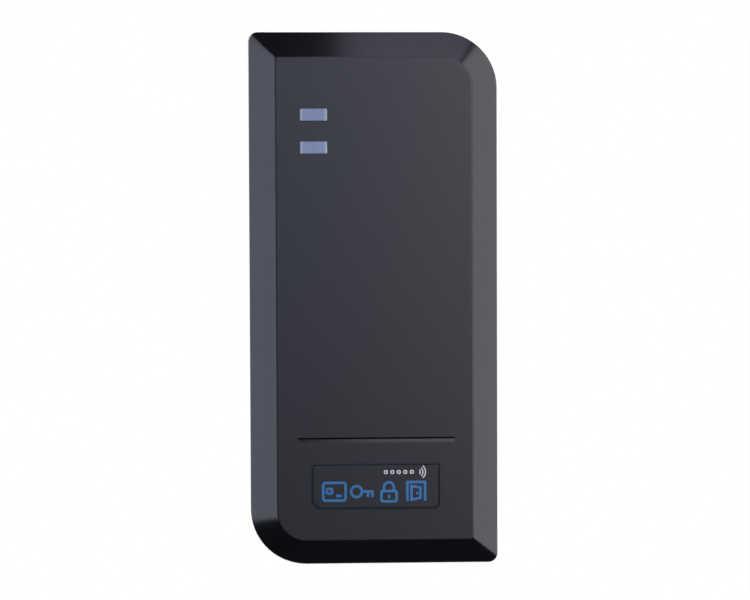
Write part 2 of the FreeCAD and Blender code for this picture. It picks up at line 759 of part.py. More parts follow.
def make_wall_plate():
    """The plate that stays on the wall: two screw slots, a cable window, two hook tongues and the locking lug."""
    body = new_body("wall_plate")
    front = s.plate_thick
    prism(body, "plate", casing(plate_inset, s.plate_corner), 0, front)
    opening = centred(0, s.cable_up, s.window_side, s.window_side, 1.5)
    prism(body, "cable_window", opening, -1, front + 1, cut=True)

    def slots(margin):
        width, length = s.slot_width + 2 * margin, s.slot_length + 2 * margin
        ends = (s.slot_pitch / 2, -s.slot_pitch / 2)
        return several(*[lambda drawing, up=up: drawing.slot(0, up, width, length) for up in ends])

    prism(body, "screw_slots", slots(0), -1, front + 1, cut=True)
    prism(body, "screw_sinks", slots(s.slot_margin), front - 1, front + 1, cut=True)
    fields = [pad(*field, 1.2) for field in plate_fields()]
    prism(body, "rear_fields", several(*fields), -1, s.field_depth, cut=True)

    plate_top = half_height - plate_inset
    for name, across in tongue_places():
        left, right = across - s.tongue_width / 2, across + s.tongue_width / 2
        root = block(left, right, plate_top - 1.6, plate_top)
        prism(body, name + "_tongue_root", root, front - 0.5, s.tongue_front)
        tongue = block(left, right, plate_top - 0.5, s.tongue_top)
        prism(body, name + "_tongue", tongue, s.tongue_back, s.tongue_front)

    lug_half = s.lug_width / 2
    prism(body, "lug", pad(-lug_half, lug_half, s.lug_low, s.lug_high, 0.4), front - 0.5, s.lug_front)
    bore = circle(0, -s.lock_depth, s.insert_round)
    prism(body, "insert_bore", bore, s.lug_low - 1, s.lug_high + 1, cut=True, plane=LEVEL)
    rim = half_width - plate_inset - 1
    ribs = [block(-rim, -rim + 1.2, -36, 36), block(rim - 1.2, rim, -36, 36)]
    prism(body, "side_ribs", several(*ribs), front - 0.5, front + 1.2)
    return keep(body)


def make_lock():
    """Brass insert in the lug, and the lock screw with its captive washer, backed out so that the lug is free."""
    insert = new_body("lock_insert", (0, s.lock_depth, s.lug_low))
    high, bore, rim = s.lug_high - s.lug_low, s.lock_shank + 0.06, s.insert_round
    half_section = [(bore + 0.3, 0), (rim, 0), (rim, high), (bore, high), (bore, 0.3)]
    turned(insert, "turned", half_section, plane=FRONT)
    keep(insert)

    washer = new_body("captive_washer", (0, s.lock_depth, lock_head_top))
    outer, thick = s.lock_head_round, s.washer_thick
    turned(washer, "turned", [(bore, 0), (outer, 0), (outer, thick), (bore, thick)], plane=FRONT)
    keep(washer)

    screw = new_body("lock_screw", (0, s.lock_depth, s.lock_head_low))
    head, shank, top = s.lock_head_round, s.lock_shank, s.lock_head_high
    tip = top + s.lock_length
    half_section = [
        (0, 0), (head - 1, 0), (head - 0.4, 0.3), (head, 0.9), (head, top),
        (shank, top), (shank, tip - 0.5), (shank - 0.5, tip), (0, tip),
    ]
    turned(screw, "turned", half_section, plane=FRONT)
    radius = s.socket_flats / math.sqrt(3)
    angles = [i * math.pi / 3 for i in range(6)]
    corners = [(radius * math.cos(a), radius * math.sin(a)) for a in angles]
    hexagon = lambda drawing: drawing.polygon(corners)
    prism(screw, "socket", several(hexagon, circle(0, 0, s.socket_pin_round)), -0.5, 1.1, cut=True, plane=LEVEL)
    return keep(screw)


# ---------------------------------------------------------------- pieces in the front face


def make_lens(label, up):
    """A light guide: its tip fills the window, a flange stops it behind the face, and a stem goes to the lamp."""
    body = new_body(label)
    gap = s.lens_gap * 2
    tip = centred(s.led_across, up, s.led_width - gap, s.led_height - gap, s.led_corner - s.lens_gap)
    prism(body, "tip", tip, room_front - 0.5, lens_front)
    dress(body, "Fillet", "soft_edge", at_depth(lens_front), 0.2)
    flange = centred(s.led_across, up, s.flange_width, s.flange_height, 0.3)
    prism(body, "flange", flange, room_front - 1.2, room_front)
    stem = centred(s.led_across, up, s.stem_width, s.stem_height, 0.3)
    prism(body, "stem", stem, board_front + 2.2, room_front - 1.0)
    return keep(body)


def make_light_baffle():
    """An opaque block round the two stems, so that one light doesn't show in the other window."""
    body = new_body("light_baffle")
    middle = (s.led_upper + led_lower) / 2
    outside = centred(s.led_across, middle, s.flange_width, s.led_pitch + s.flange_height, 0.4)
    wells = [
        centred(s.led_across, up, s.stem_width + 0.4, s.stem_height + 0.4, 0.3) for up in (s.led_upper, led_lower)
    ]
    prism(body, "block", several(outside, *wells), board_front + 1.7, room_front - 1.3)
    return keep(body)


def make_badge():
    """The nameplate, a little below the face, and the adhesive that holds it in its recess."""
    film = 0.15
    adhesive = new_body("badge_adhesive")
    prism(adhesive, "film", nameplate(s.badge_gap + 0.2), badge_floor, badge_floor + film)
    keep(adhesive)
    plate = new_body("badge_plate")
    prism(plate, "plate", nameplate(s.badge_gap), badge_floor + film, badge_front)
    dress(plate, "Fillet", "soft_edge", at_depth(badge_front), 0.12)
    return keep(plate)


# ---------------------------------------------------------------- antenna


def make_antenna():
    """The bobbin on its pegs, the winding in its channel, and the winding's two ends."""
    former = new_body("coil_former")
    flange = s.flange_thick
    core = s.coil_band - flange
    channel_back, channel_front = s.coil_back + flange, s.coil_front - flange
    core_ring = several(coil_outline(core), coil_outline(s.coil_band))
    flange_ring = several(coil_outline(as_size(0)), coil_outline(s.coil_band))
    prism(former, "core", core_ring, s.coil_back, s.coil_front)
    prism(former, "rear_flange", flange_ring, s.coil_back, channel_back)
    prism(former, "front_flange", flange_ring, channel_front, s.coil_front)

    rim = s.coil_width / 2 - s.coil_band
    half = s.tab_side / 2
    tabs = []
    for up in (s.peg_up, s.peg_low):
        tabs.append(pad(-rim - 0.3, -rim + s.tab_side, up - half, up + half, 0.4))
        tabs.append(pad(rim - s.tab_side, rim + 0.3, up - half, up + half, 0.4))
    prism(former, "tabs", several(*tabs), s.coil_back, s.coil_back + s.tab_thick)
    holes = circles(coil_peg_places(), s.peg_round + 0.1)
    prism(former, "peg_holes", holes, s.coil_back - 1, s.coil_back + s.tab_thick + 1, cut=True)
    keep(former)

    winding = new_body("antenna_coil")
    ring = several(coil_outline(s.coil_slack), coil_outline(core))
    prism(winding, "turns", ring, channel_back, channel_front)
    keep(winding)
    make_coil_leads(channel_back + 1.0)


def make_coil_leads(depth):
    """The winding's two ends: straight in from the former's core, then down to the board."""
    lead = new_body("coil_lead_master", (0, depth, s.coil_low + s.coil_band))
    run, bend, wire = 1.2, 0.9, 0.25
    drop = (depth - board_front).value
    path = Drawing(lead, "path", SIDE, 0).sketch
    centre = Vector(bend, run, 0)
    along = Part.LineSegment(Vector(0, 0, 0), Vector(0, run, 0))
    corner = Part.ArcOfCircle(Part.Circle(centre, Vector(0, 0, 1), bend), math.pi / 2, math.pi)
    down = Part.LineSegment(Vector(bend, run + bend, 0), Vector(drop, run + bend, 0))
    path.addGeometry([along, corner, down], False)
    path.addConstraint(Sketcher.Constraint("Tangent", 0, END, 1, END))
    path.addConstraint(Sketcher.Constraint("Tangent", 1, START, 2, START))
    section = Drawing(lead, "section", LEVEL, 0)
    section.circle(0, 0, wire)
    doc.recompute()
    pipe = add_feature(lead, "AdditivePipe", "pipe")
    pipe.Profile = section.sketch
    pipe.Spine = path
    settle(lead, pipe, 0)
    group("coil_leads", lead, [(as_size(x), as_size(0), as_size(0)) for x in (-1.6, 1.6)])


# ---------------------------------------------------------------- circuit board and what is on it


def make_main_board():
    body = new_body("main_board")
    right = s.board_width / 2
    prism(body, "board", pad(-right, right, s.board_low, s.board_top, 1.0), s.board_back, board_front)
    holes = circles(board_screw_places(), s.screw_hole_round)
    prism(body, "screw_holes", holes, s.board_back - 1, board_front + 1, cut=True)
    return keep(body)


def make_chip(label, across, up, width, length, height, pins, pitch):
    """A flat package with a row of gull-wing legs down each long side, on the front of the board."""
    body = new_body(label, (across, board_front, up))
    half, stand_off = width / 2, 0.12
    prism(body, "package", block(-half, half, -length / 2, length / 2), stand_off, height)
    dress(body, "Chamfer", "soft_edge", at_depth(height), 0.12)
    mark = circle(-half + 0.8, length / 2 - 0.8, 0.35)
    prism(body, "pin_one_mark", mark, height - 0.1, height + 1, cut=True)

    inside, knee, toe, thick, mid = half - 0.2, half + 0.35, half + 1.05, 0.18, -height / 2

    def legs(drawing):
        for side in (-1, 1):
            shape = [
                (inside, mid), (knee, mid), (knee, -thick), (toe, -thick), (toe, 0),
                (knee - thick, 0), (knee - thick, mid + thick), (inside, mid + thick),
            ]
            drawing.polygon([(side * x, y) for x, y in shape])

    leg_width = 0.4
    start = -(pins - 1) * pitch / 2 - leg_width / 2
    first = prism(body, "legs", legs, start, start + leg_width, plane=LEVEL)
    pattern_up(body, first, "leg_rows", pins, pitch)
    return keep(body)


def make_chips():
    make_chip("microcontroller", -6.5, 3.5, 7.5, 12.8, 2.3, 10, 1.27)
    make_chip("rf_reader_chip", -6.5, -13.0, 3.9, 9.9, 1.5, 8, 1.27)
    make_chip("voltage_regulator", 2.5, 37.2, 3.5, 6.5, 1.7, 3, 2.3)


def on_board(places):
    """Places on the front of the board, from x and z."""
    return [(as_size(x), board_front, as_size(z)) for x, z in places]


def make_capacitor_cans():
    """Two upright cans, each on its square plastic foot."""
    body = new_body("electrolytic_capacitors_master")
    radius, base, height = 3.15, 0.8, 5.4
    half = radius + 0.2
    prism(body, "foot", lambda d: d.rounded(-half, half, -half, half, 0.6, 0.6, 1.6, 1.6), 0, base)
    prism(body, "can", circle(0, 0, radius), base, height)
    dress(body, "Fillet", "soft_edge", at_depth(height), 0.4)
    group("electrolytic_capacitors", body, on_board([(4.6, 29.9), (12.0, 29.9)]))


def make_two_ended(label, places, width, length, height):
    """Small blocks with a chamfered top."""
    body = new_body(label + "_master")
    prism(body, "block", block(-width / 2, width / 2, -length / 2, length / 2), 0, height)
    dress(body, "Chamfer", "soft_edge", at_depth(height), 0.08)
    group(label, body, on_board(places))


def make_small_parts():
    upper_column = [(-9.5, 12.6 + 2.4 * i) for i in range(4)]
    lower_column = [(9.0, -9.0 - 2.4 * i) for i in range(4)]
    make_two_ended("chip_resistors", upper_column + lower_column, 2.0, 1.25, 0.5)
    beside_chip = [(-5.8, 12.6 + 2.8 * i) for i in range(3)]
    below_can = [(3.4 + 3 * i, -22.6) for i in range(2)]
    make_two_ended("chip_capacitors", beside_chip + below_can, 2.0, 1.25, 0.85)
    make_two_ended("tuning_capacitor", [(0.6, -18.6)], 7.2, 2.6, 5.5)
    make_two_ended("protection_diode", [(-3.0, 30.0)], 4.4, 2.6, 2.1)

    body = new_body("driver_transistors_master")
    prism(body, "package", block(-0.65, 0.65, -1.45, 1.45), 0.1, 1.0)
    legs = [block(x - 0.45, x + 0.45, z - 0.2, z + 0.2) for x, z in ((-1.0, -0.95), (-1.0, 0.95), (1.0, 0.0))]
    prism(body, "legs", several(*legs), 0, 0.2)
    group("driver_transistors", body, on_board([(4.6, -9.5), (4.6, -13.5)]))


def make_buzzer():
    """A round sounder with its sound hole, on two short feet."""
    body = new_body("buzzer", (3.4, board_front, 14.0))
    radius, hole, stand_off, top = 6.0, 1.1, -0.2, -5.6
    half_section = [
        (hole, top + 0.6), (0, top + 0.6), (0, stand_off), (radius, stand_off),
        (radius, top + 0.3), (radius - 0.3, top), (hole, top),
    ]
    turned(body, "turned", half_section)
    prism(body, "feet", circles([(-3.3, 0), (3.3, 0)], 0.5), 0, 0.3)
    return keep(body)


def make_crystal():
    """A low metal can with round ends."""
    body = new_body("crystal", (6.0, board_front, -2.6))
    base, height = 0.6, 3.4
    prism(body, "base", pad(-5.6, 5.6, -2.4, 2.4, 2.3), 0, base)
    prism(body, "can", pad(-5.2, 5.2, -2.0, 2.0, 1.9), base, height)
    dress(body, "Fillet", "soft_edge", at_depth(height), 0.4)
    return keep(body)


def make_power_inductor():
    """A shielded choke: a square block with its round core showing on top."""
    body = new_body("power_inductor", (-3.6, board_front, 36.0))
    prism(body, "block", pad(-2.5, 2.5, -2.5, 2.5, 0.8), 0, 2.4)
    prism(body, "core", circle(0, 0, 1.9), 2.4, 2.6)
    return keep(body)


def make_status_leds():
    """Two lamps on the board, each right under its light guide."""
    body = new_body("status_leds_master")
    prism(body, "package", pad(-1.75, 1.75, -1.4, 1.4, 0.2), 0, 1.3)
    prism(body, "cup", circle(0, 0, 1.1), 1.1, 1.6, cut=True)
    group("status_leds", body, [(s.led_across, board_front, up) for up in (s.led_upper, led_lower)])


def make_cable_header():
    """The cable's socket on the rear of the board, with its mouth towards the grommet, and its contacts."""
    count, pitch, wire, play = 8, 1.5, 0.5, 0.04
    wide, tall, deep, wall = count * pitch + 3, 5.6, 4.2, 0.8
    place = (0, s.board_back, -1.0)
    half, row = wide / 2, deep / 2
    columns = [(i - (count - 1) / 2) * pitch for i in range(count)]

    socket = new_body("cable_header", place)
    prism(socket, "block", block(-half, half, -tall / 2, tall / 2), -deep, 0)
    mouth = block(-half + wall, half - wall, wall, deep - wall)
    prism(socket, "mouth", mouth, -tall / 2 + 1.6, tall / 2 + 1, cut=True, plane=LEVEL)
    reach = wire / 2 + play
    holes = [block(x - reach, x + reach, row - reach, row + reach) for x in columns]
    prism(socket, "contact_holes", several(*holes), -tall / 2 - 1, 0, cut=True, plane=LEVEL)
    keep(socket)

    contact = new_body("header_pin_master", place)
    near, far, low = row - wire / 2, row + wire / 2, -tall / 2 - 1.2
    bent = [(near, 1.6), (near, low + wire), (0, low + wire), (0, low), (far, low), (far, 1.6)]
    prism(contact, "bent_wire", lambda drawing: drawing.polygon(bent), -wire / 2, wire / 2, plane=SIDE)
    group("header_pins", contact, [(as_size(x), as_size(0), as_size(0)) for x in columns])


# ---------------------------------------------------------------- build, check and write


def check_document():
    for thing in doc.Objects:
        if "Invalid" in thing.State or "Error" in thing.State:
            raise RuntimeError(f"{thing.Label} is {thing.State}")
    for node in nodes:
        if node.Shape.isNull() or not node.Shape.isValid():
            raise RuntimeError(f"{node.Label} has no valid shape")
        if node.TypeId == "PartDesign::Body" and len(node.Shape.Solids) != 1:
            raise RuntimeError(f"{node.Label} is {len(node.Shape.Solids)} solids")


def write_nodes():
    os.makedirs("parts", exist_ok=True)
    for node in nodes:
        node.Shape.exportStep(os.path.join("parts", node.Label + ".step"))
        box = node.Shape.BoundBox
        across = f"x {box.XMin:7.2f} {box.XMax:7.2f}  y {box.YMin:7.2f} {box.YMax:7.2f}"
        print(f"{node.Label:26s} {len(node.Shape.Solids):2d}  {across}  z {box.ZMin:7.2f} {box.ZMax:7.2f}")


def main():
    make_front_housing()
    make_rear_cover()
    make_cover_gasket()
    make_screws()
    make_cable_grommet()
    make_rear_label()
    make_wall_plate()
    make_lock()
    make_lens("led_lens_upper", s.led_upper)
    make_lens("led_lens_lower", led_lower)
    make_light_baffle()
    make_badge()
    make_antenna()
    make_main_board()
    make_chips()
    make_capacitor_cans()
    make_small_parts()
    make_buzzer()
    make_crystal()
    make_power_inductor()
    make_status_leds()
    make_cable_header()
    doc.recompute()
    check_document()
    write_nodes()


main()
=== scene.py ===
import json
import math

import bmesh
import bpy
from mathutils import Matrix, Quaternion, Vector


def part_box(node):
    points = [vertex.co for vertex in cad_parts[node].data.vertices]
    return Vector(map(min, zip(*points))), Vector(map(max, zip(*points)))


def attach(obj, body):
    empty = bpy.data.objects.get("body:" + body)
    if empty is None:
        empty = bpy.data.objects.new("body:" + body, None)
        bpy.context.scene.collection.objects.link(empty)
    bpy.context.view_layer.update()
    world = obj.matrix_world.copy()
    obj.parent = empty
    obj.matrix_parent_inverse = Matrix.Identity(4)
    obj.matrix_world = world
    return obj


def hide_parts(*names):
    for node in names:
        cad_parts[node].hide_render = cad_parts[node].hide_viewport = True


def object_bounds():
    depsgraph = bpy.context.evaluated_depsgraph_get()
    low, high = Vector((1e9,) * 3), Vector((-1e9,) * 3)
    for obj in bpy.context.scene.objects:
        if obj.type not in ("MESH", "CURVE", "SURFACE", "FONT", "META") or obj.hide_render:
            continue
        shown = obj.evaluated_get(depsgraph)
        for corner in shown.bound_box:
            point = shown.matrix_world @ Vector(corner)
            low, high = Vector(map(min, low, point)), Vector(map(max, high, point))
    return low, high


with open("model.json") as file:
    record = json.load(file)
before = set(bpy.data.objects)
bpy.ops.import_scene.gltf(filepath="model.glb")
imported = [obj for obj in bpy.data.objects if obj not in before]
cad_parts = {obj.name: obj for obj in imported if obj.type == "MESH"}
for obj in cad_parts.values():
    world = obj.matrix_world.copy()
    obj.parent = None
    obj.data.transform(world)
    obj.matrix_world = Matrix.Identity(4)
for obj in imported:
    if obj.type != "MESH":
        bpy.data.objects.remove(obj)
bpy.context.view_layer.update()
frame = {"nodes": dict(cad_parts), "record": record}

MM = 0.001
# How far printed and plated lines reach below their surface and stand out of it, in millimetres
SUNK = 0.01
BADGE_INK = 0.03
LABEL_INK = 0.012
BOARD_INK = 0.012
TRACK_THICK = 0.02
VIA_THICK = 0.025
RING_THICK = 0.035


# ---------------------------------------------------------------------------------------------
# Materials: a small builder for node trees, then one function for each finish
# ---------------------------------------------------------------------------------------------


class Finish:
    """A node material on a Principled shader, measured in millimetres of the object's own space."""

    def __init__(self, name, colour, roughness, metallic=0.0, **fixed):
        self.material = bpy.data.materials.new(name)
        self.material.use_nodes = True
        self.tree = self.material.node_tree
        self.shader = self.tree.nodes["Principled BSDF"]
        self.shader.inputs["Base Color"].default_value = (*colour, 1)
        self.shader.inputs["Roughness"].default_value = roughness
        self.shader.inputs["Metallic"].default_value = metallic
        for socket, value in fixed.items():
            self.shader.inputs[socket.replace("_", " ")].default_value = value
        place = self.tree.nodes.new("ShaderNodeTexCoord").outputs["Object"]
        self.place = self.vector("SCALE", place, scale=1 / MM)

    def node(self, kind, **settings):
        made = self.tree.nodes.new("ShaderNode" + kind)
        for name, value in settings.items():
            setattr(made, name, value)
        return made

    def feed(self, socket, value):
        if isinstance(value, bpy.types.NodeSocket):
            self.tree.links.new(value, socket)
        elif isinstance(value, tuple) and len(value) == 3 and socket.type == "RGBA":
            socket.default_value = (*value, 1)
        else:
            socket.default_value = value

    def vector(self, operation, first, second=None, scale=None):
        made = self.node("VectorMath", operation=operation)
        self.feed(made.inputs[0], first)
        if second is not None:
            self.feed(made.inputs[1], second)
        if scale is not None:
            self.feed(made.inputs["Scale"], scale)
        return made.outputs["Value" if operation == "DOT_PRODUCT" else "Vector"]

    def maths(self, operation, first, second=0.5, third=0.5, clamp=False):
        made = self.node("Math", operation=operation, use_clamp=clamp)
        for socket, value in zip(made.inputs, (first, second, third)):
            self.feed(socket, value)
        return made.outputs["Value"]

    def axis(self, name):
        split = self.node("SeparateXYZ")
        self.feed(split.inputs[0], self.place)
        return split.outputs[name]

    def stretched(self, x=1.0, y=1.0, z=1.0):
        """The place, squeezed along each axis, so that a pattern on it comes out long across the others."""
        return self.vector("MULTIPLY", self.place, (x, y, z))

    def noise(self, size, detail=3.0, share=0.55, at=None):
        """Cloudy noise from 0 to 1 with features of a given size in millimetres."""
        made = self.node("TexNoise")
        self.feed(made.inputs["Vector"], at or self.place)
        self.feed(made.inputs["Scale"], 1 / size)
        self.feed(made.inputs["Detail"], detail)
        self.feed(made.inputs["Roughness"], share)
        return made.outputs["Fac"]

    def cells(self, size):
        """Distance to the nearest cell centre, for pores of a given size in millimetres."""
        made = self.node("TexVoronoi", feature="F1")
        self.feed(made.inputs["Vector"], self.place)
        self.feed(made.inputs["Scale"], 1 / size)
        return made.outputs["Distance"]

    def range(self, value, low, high, to_low=0.0, to_high=1.0):
        """A soft step from one number to another while the value goes from low to high."""
        made = self.node("MapRange", interpolation_type="SMOOTHSTEP")
        numbers = (value, low, high, to_low, to_high)
        for name, number in zip(("Value", "From Min", "From Max", "To Min", "To Max"), numbers):
            self.feed(made.inputs[name], number)
        return made.outputs["Result"]

    def blend(self, share, first, second):
        made = self.node("Mix", data_type="RGBA", blend_type="MIX")
        self.feed(made.inputs[0], share)
        self.feed(made.inputs[6], first)
        self.feed(made.inputs[7], second)
        return made.outputs[2]

    def edges(self, radius):
        """A mask of the sharp edges: where the surface, rounded over this radius, leans away from itself."""
        rounded = self.node("Bevel", samples=6)
        self.feed(rounded.inputs["Radius"], radius * MM)
        own = self.node("NewGeometry").outputs["Normal"]
        agree = self.vector("DOT_PRODUCT", rounded.outputs["Normal"], own)
        return self.range(agree, 0.985, 0.86)

    def paint(self, colour):
        self.feed(self.shader.inputs["Base Color"], colour)
        return self

    def polish(self, roughness):
        self.feed(self.shader.inputs["Roughness"], roughness)
        return self

    def relief(self, *layers):
        """Bump from layers of (height from 0 to 1, depth in millimetres)."""
        normal = None
        for height, depth in layers:
            bump = self.node("Bump")
            self.feed(bump.inputs["Height"], height)
            self.feed(bump.inputs["Distance"], depth * MM)
            self.feed(bump.inputs["Strength"], 1.0)
            if normal is not None:
                self.feed(bump.inputs["Normal"], normal)
            normal = bump.outputs["Normal"]
        self.feed(self.shader.inputs["Normal"], normal)
        return self


def shade(colour, factor):
    return tuple(min(1.0, part * factor) for part in colour)


def moulded(name, colour, roughness, grain=0.25, depth=0.006, edge_wear_and_highlight=1.6, spread=0.1, **fixed):
    """A moulded plastic: eroded mould grain, faint flow clouds, and edges that handling has polished, their
    colour painted lighter partly as wear and partly as a painted highlight.
    """
    made = Finish(name, colour, roughness, **fixed)
    clouds = made.noise(9.0, 4.0)
    fine = made.noise(grain, 2.0, 0.6)
    tone = made.blend(made.range(clouds, 0.3, 0.7), shade(colour, 1 - spread), shade(colour, 1 + spread))
    # Edges painted lighter: partly wear, partly a painted highlight for the light that the rounded edges
    # catch.
    rim = made.edges(0.35)
    made.paint(made.blend(rim, tone, shade(colour, edge_wear_and_highlight)))
    rough = made.maths("MULTIPLY_ADD", clouds, 0.10, roughness - 0.05)
    rough = made.maths("MULTIPLY_ADD", fine, 0.06, rough)
    made.polish(made.maths("MULTIPLY_ADD", rim, -0.10, rough, clamp=True))
    return made.relief((fine, depth), (made.noise(1.3, 3.0), depth))


def housing_black():
    """The casing: a near-black plastic with a fine eroded grain on its face, satin bevels and painted
    highlights along its edges.
    """
    colour = (0.0048, 0.0048, 0.0072)
    made = Finish("housing_black", colour, 0.4, Specular_IOR_Level=0.5)
    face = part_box("front_housing")[0].y / MM
    flat = made.range(made.axis("Y"), face + 0.1, face + 0.02)
    clouds = made.noise(11.0, 4.0)
    specks = made.noise(0.33, 2.0, 0.7)
    grain = made.noise(0.2, 2.0, 0.65)
    tone = made.blend(made.range(clouds, 0.3, 0.7), shade(colour, 0.88), shade(colour, 1.12))
    tone = made.blend(made.range(specks, 0.58, 0.74), tone, shade(colour, 1.5))
    # Painted highlight: the colour is painted lighter along the rounded edges, standing in for the light
    # they catch.
    rim = made.edges(0.3)
    made.paint(made.blend(rim, tone, shade(colour, 1.7)))
    rough = made.blend(flat, (0.21, 0.21, 0.21), (0.42, 0.42, 0.42))
    rough = made.maths("MULTIPLY_ADD", clouds, 0.05, rough)
    rough = made.maths("MULTIPLY_ADD", specks, 0.06, rough)
    made.polish(made.maths("SUBTRACT", rough, 0.055))
    depth = made.maths("MULTIPLY_ADD", flat, 0.75, 0.25)
    fine = made.maths("MULTIPLY", grain, depth)
    return made.relief((fine, 0.006), (made.noise(1.6, 2.0), 0.004))


def window_blue():
    """The light windows: a milky blue light guide, with a painted highlight towards its ends."""
    colour = (0.18, 0.23, 0.37)
    made = Finish("window_blue", colour, 0.16, Coat_Weight=0.25)
    low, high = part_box("led_lens_upper")
    middle = (low.x + high.x) / 2 / MM
    half = 2.7
    off = made.maths("ABSOLUTE", made.maths("SUBTRACT", made.axis("X"), middle))
    # Painted highlight: the ends of each window are painted lighter, for the light that the window's ends
    # catch.
    ends = made.range(off, half * 0.7, half * 0.9)
    clouds = made.noise(1.1, 3.0)
    milk = made.blend(made.range(clouds, 0.3, 0.7), shade(colour, 0.93), shade(colour, 1.05))
    made.paint(made.blend(ends, milk, (0.29, 0.35, 0.42)))
    made.polish(made.range(made.noise(0.5), 0.2, 0.8, 0.12, 0.22))
    return made.relief((made.noise(0.25), 0.001))


def badge_film():
    """The nameplate: a satin printed film over a black plate."""
    colour = (0.0048, 0.0048, 0.0058)
    made = Finish("badge_silver", colour, 0.36)
    weave = made.noise(0.14, 2.0, at=made.stretched(1, 1, 0.35))
    clouds = made.noise(5.0)
    rim = made.edges(0.2)
    tone = made.blend(made.range(clouds, 0.3, 0.7), shade(colour, 0.9), shade(colour, 1.1))
    made.paint(made.blend(rim, tone, shade(colour, 2.0)))
    made.polish(made.maths("MULTIPLY_ADD", weave, 0.1, 0.33))
    return made.relief((weave, 0.002), (clouds, 0.01))


def ink(name, colour, roughness=0.4):
    """Screen-printed ink: a slightly uneven coat with a fine mesh mark."""
    made = Finish(name, colour, roughness)
    mesh = made.noise(0.09, 1.0)
    cover = made.noise(1.2, 3.0)
    made.paint(made.blend(made.range(cover, 0.35, 0.75), shade(colour, 0.88), shade(colour, 1.08)))
    made.polish(made.maths("MULTIPLY_ADD", mesh, 0.12, roughness - 0.06))
    return made.relief((mesh, 0.0015))


def metal(name, colour, roughness, lines=(1.0, 1.0, 1.0)):
    """A bare metal with tool marks drawn out along an axis, tarnish clouds and brighter edges."""
    made = Finish(name, colour, roughness, metallic=1.0)
    marks = made.noise(0.12, 2.0, 0.7, at=made.stretched(*lines))
    clouds = made.noise(1.8, 4.0)
    tone = made.blend(made.range(clouds, 0.3, 0.75), colour, shade(colour, 0.78))
    rim = made.edges(0.1)
    made.paint(made.blend(rim, tone, shade(colour, 1.25)))
    rough = made.maths("MULTIPLY_ADD", marks, 0.18, roughness - 0.09)
    made.polish(made.maths("MULTIPLY_ADD", clouds, 0.1, rough, clamp=True))
    return made.relief((marks, 0.003))


def rubber(name, colour, roughness=0.75):
    made = Finish(name, colour, roughness, Specular_IOR_Level=0.4)
    bloom = made.noise(2.5, 4.0)
    pores = made.cells(0.22)
    made.paint(made.blend(made.range(bloom, 0.45, 0.8), colour, shade(colour, 1.7)))
    made.polish(made.maths("MULTIPLY_ADD", bloom, 0.15, roughness - 0.1))
    return made.relief((pores, 0.006), (made.noise(0.4), 0.006))


def foam(name, colour):
    made = Finish(name, colour, 0.95)
    pores = made.cells(0.3)
    # Painted shade: the colour darkens towards the middle of each pore, for the shade inside it.
    made.paint(made.blend(made.range(pores, 0.1, 0.6), shade(colour, 0.6), shade(colour, 1.1)))
    made.polish(made.maths("MULTIPLY_ADD", pores, 0.1, 0.85))
    return made.relief((pores, 0.05))


def solder_mask():
    """The board's green lacquer, over a glass weave that just shows."""
    colour = (0.006, 0.075, 0.028)
    made = Finish("board_green", colour, 0.3)
    warp = made.node("TexWave", wave_type="BANDS", bands_direction="X")
    weft = made.node("TexWave", wave_type="BANDS", bands_direction="Z")
    for wave in (warp, weft):
        made.feed(wave.inputs["Vector"], made.place)
        made.feed(wave.inputs["Scale"], 0.55)
        made.feed(wave.inputs["Distortion"], 0.6)
    weave = made.maths("MULTIPLY", warp.outputs["Fac"], weft.outputs["Fac"])
    clouds = made.noise(6.0, 3.0)
    tone = made.blend(made.range(clouds, 0.3, 0.7), shade(colour, 0.85), shade(colour, 1.15))
    tone = made.blend(made.maths("MULTIPLY", weave, 0.35), tone, shade(colour, 1.5))
    rim = made.edges(0.2)
    made.paint(made.blend(rim, tone, (0.30, 0.26, 0.12)))
    made.polish(made.maths("MULTIPLY_ADD", clouds, 0.14, 0.24))
    return made.relief((weave, 0.004), (made.noise(0.5), 0.002))


def label_film():
    """Matt white polyester with a trace of yellowing."""
    colour = (0.72, 0.72, 0.69)
    made = Finish("label_white", colour, 0.5)
    age = made.noise(12.0, 3.0)
    made.paint(made.blend(made.range(age, 0.4, 0.8), colour, (0.70, 0.67, 0.58)))
    made.polish(made.maths("MULTIPLY_ADD", made.noise(0.3), 0.15, 0.42))
    return made.relief((made.noise(0.2), 0.0015), (age, 0.02))


def lamp():
    made = Finish("lamp_white", (0.78, 0.78, 0.72), 0.3, Coat_Weight=0.3)
    heat = made.noise(0.8)
    made.paint(made.blend(made.range(heat, 0.4, 0.8), (0.78, 0.78, 0.72), (0.74, 0.66, 0.42)))
    made.polish(made.maths("MULTIPLY_ADD", heat, 0.2, 0.2))
    return made.relief((made.noise(0.3), 0.003))


def film_capacitor():
    colour = (0.55, 0.36, 0.03)
    made = Finish("film_yellow", colour, 0.28, Coat_Weight=0.4)
    clouds = made.noise(1.5, 4.0)
    made.paint(made.blend(made.range(clouds, 0.3, 0.75), colour, shade(colour, 0.8)))
    made.polish(made.maths("MULTIPLY_ADD", clouds, 0.14, 0.2))
    return made.relief((made.noise(0.7), 0.02))


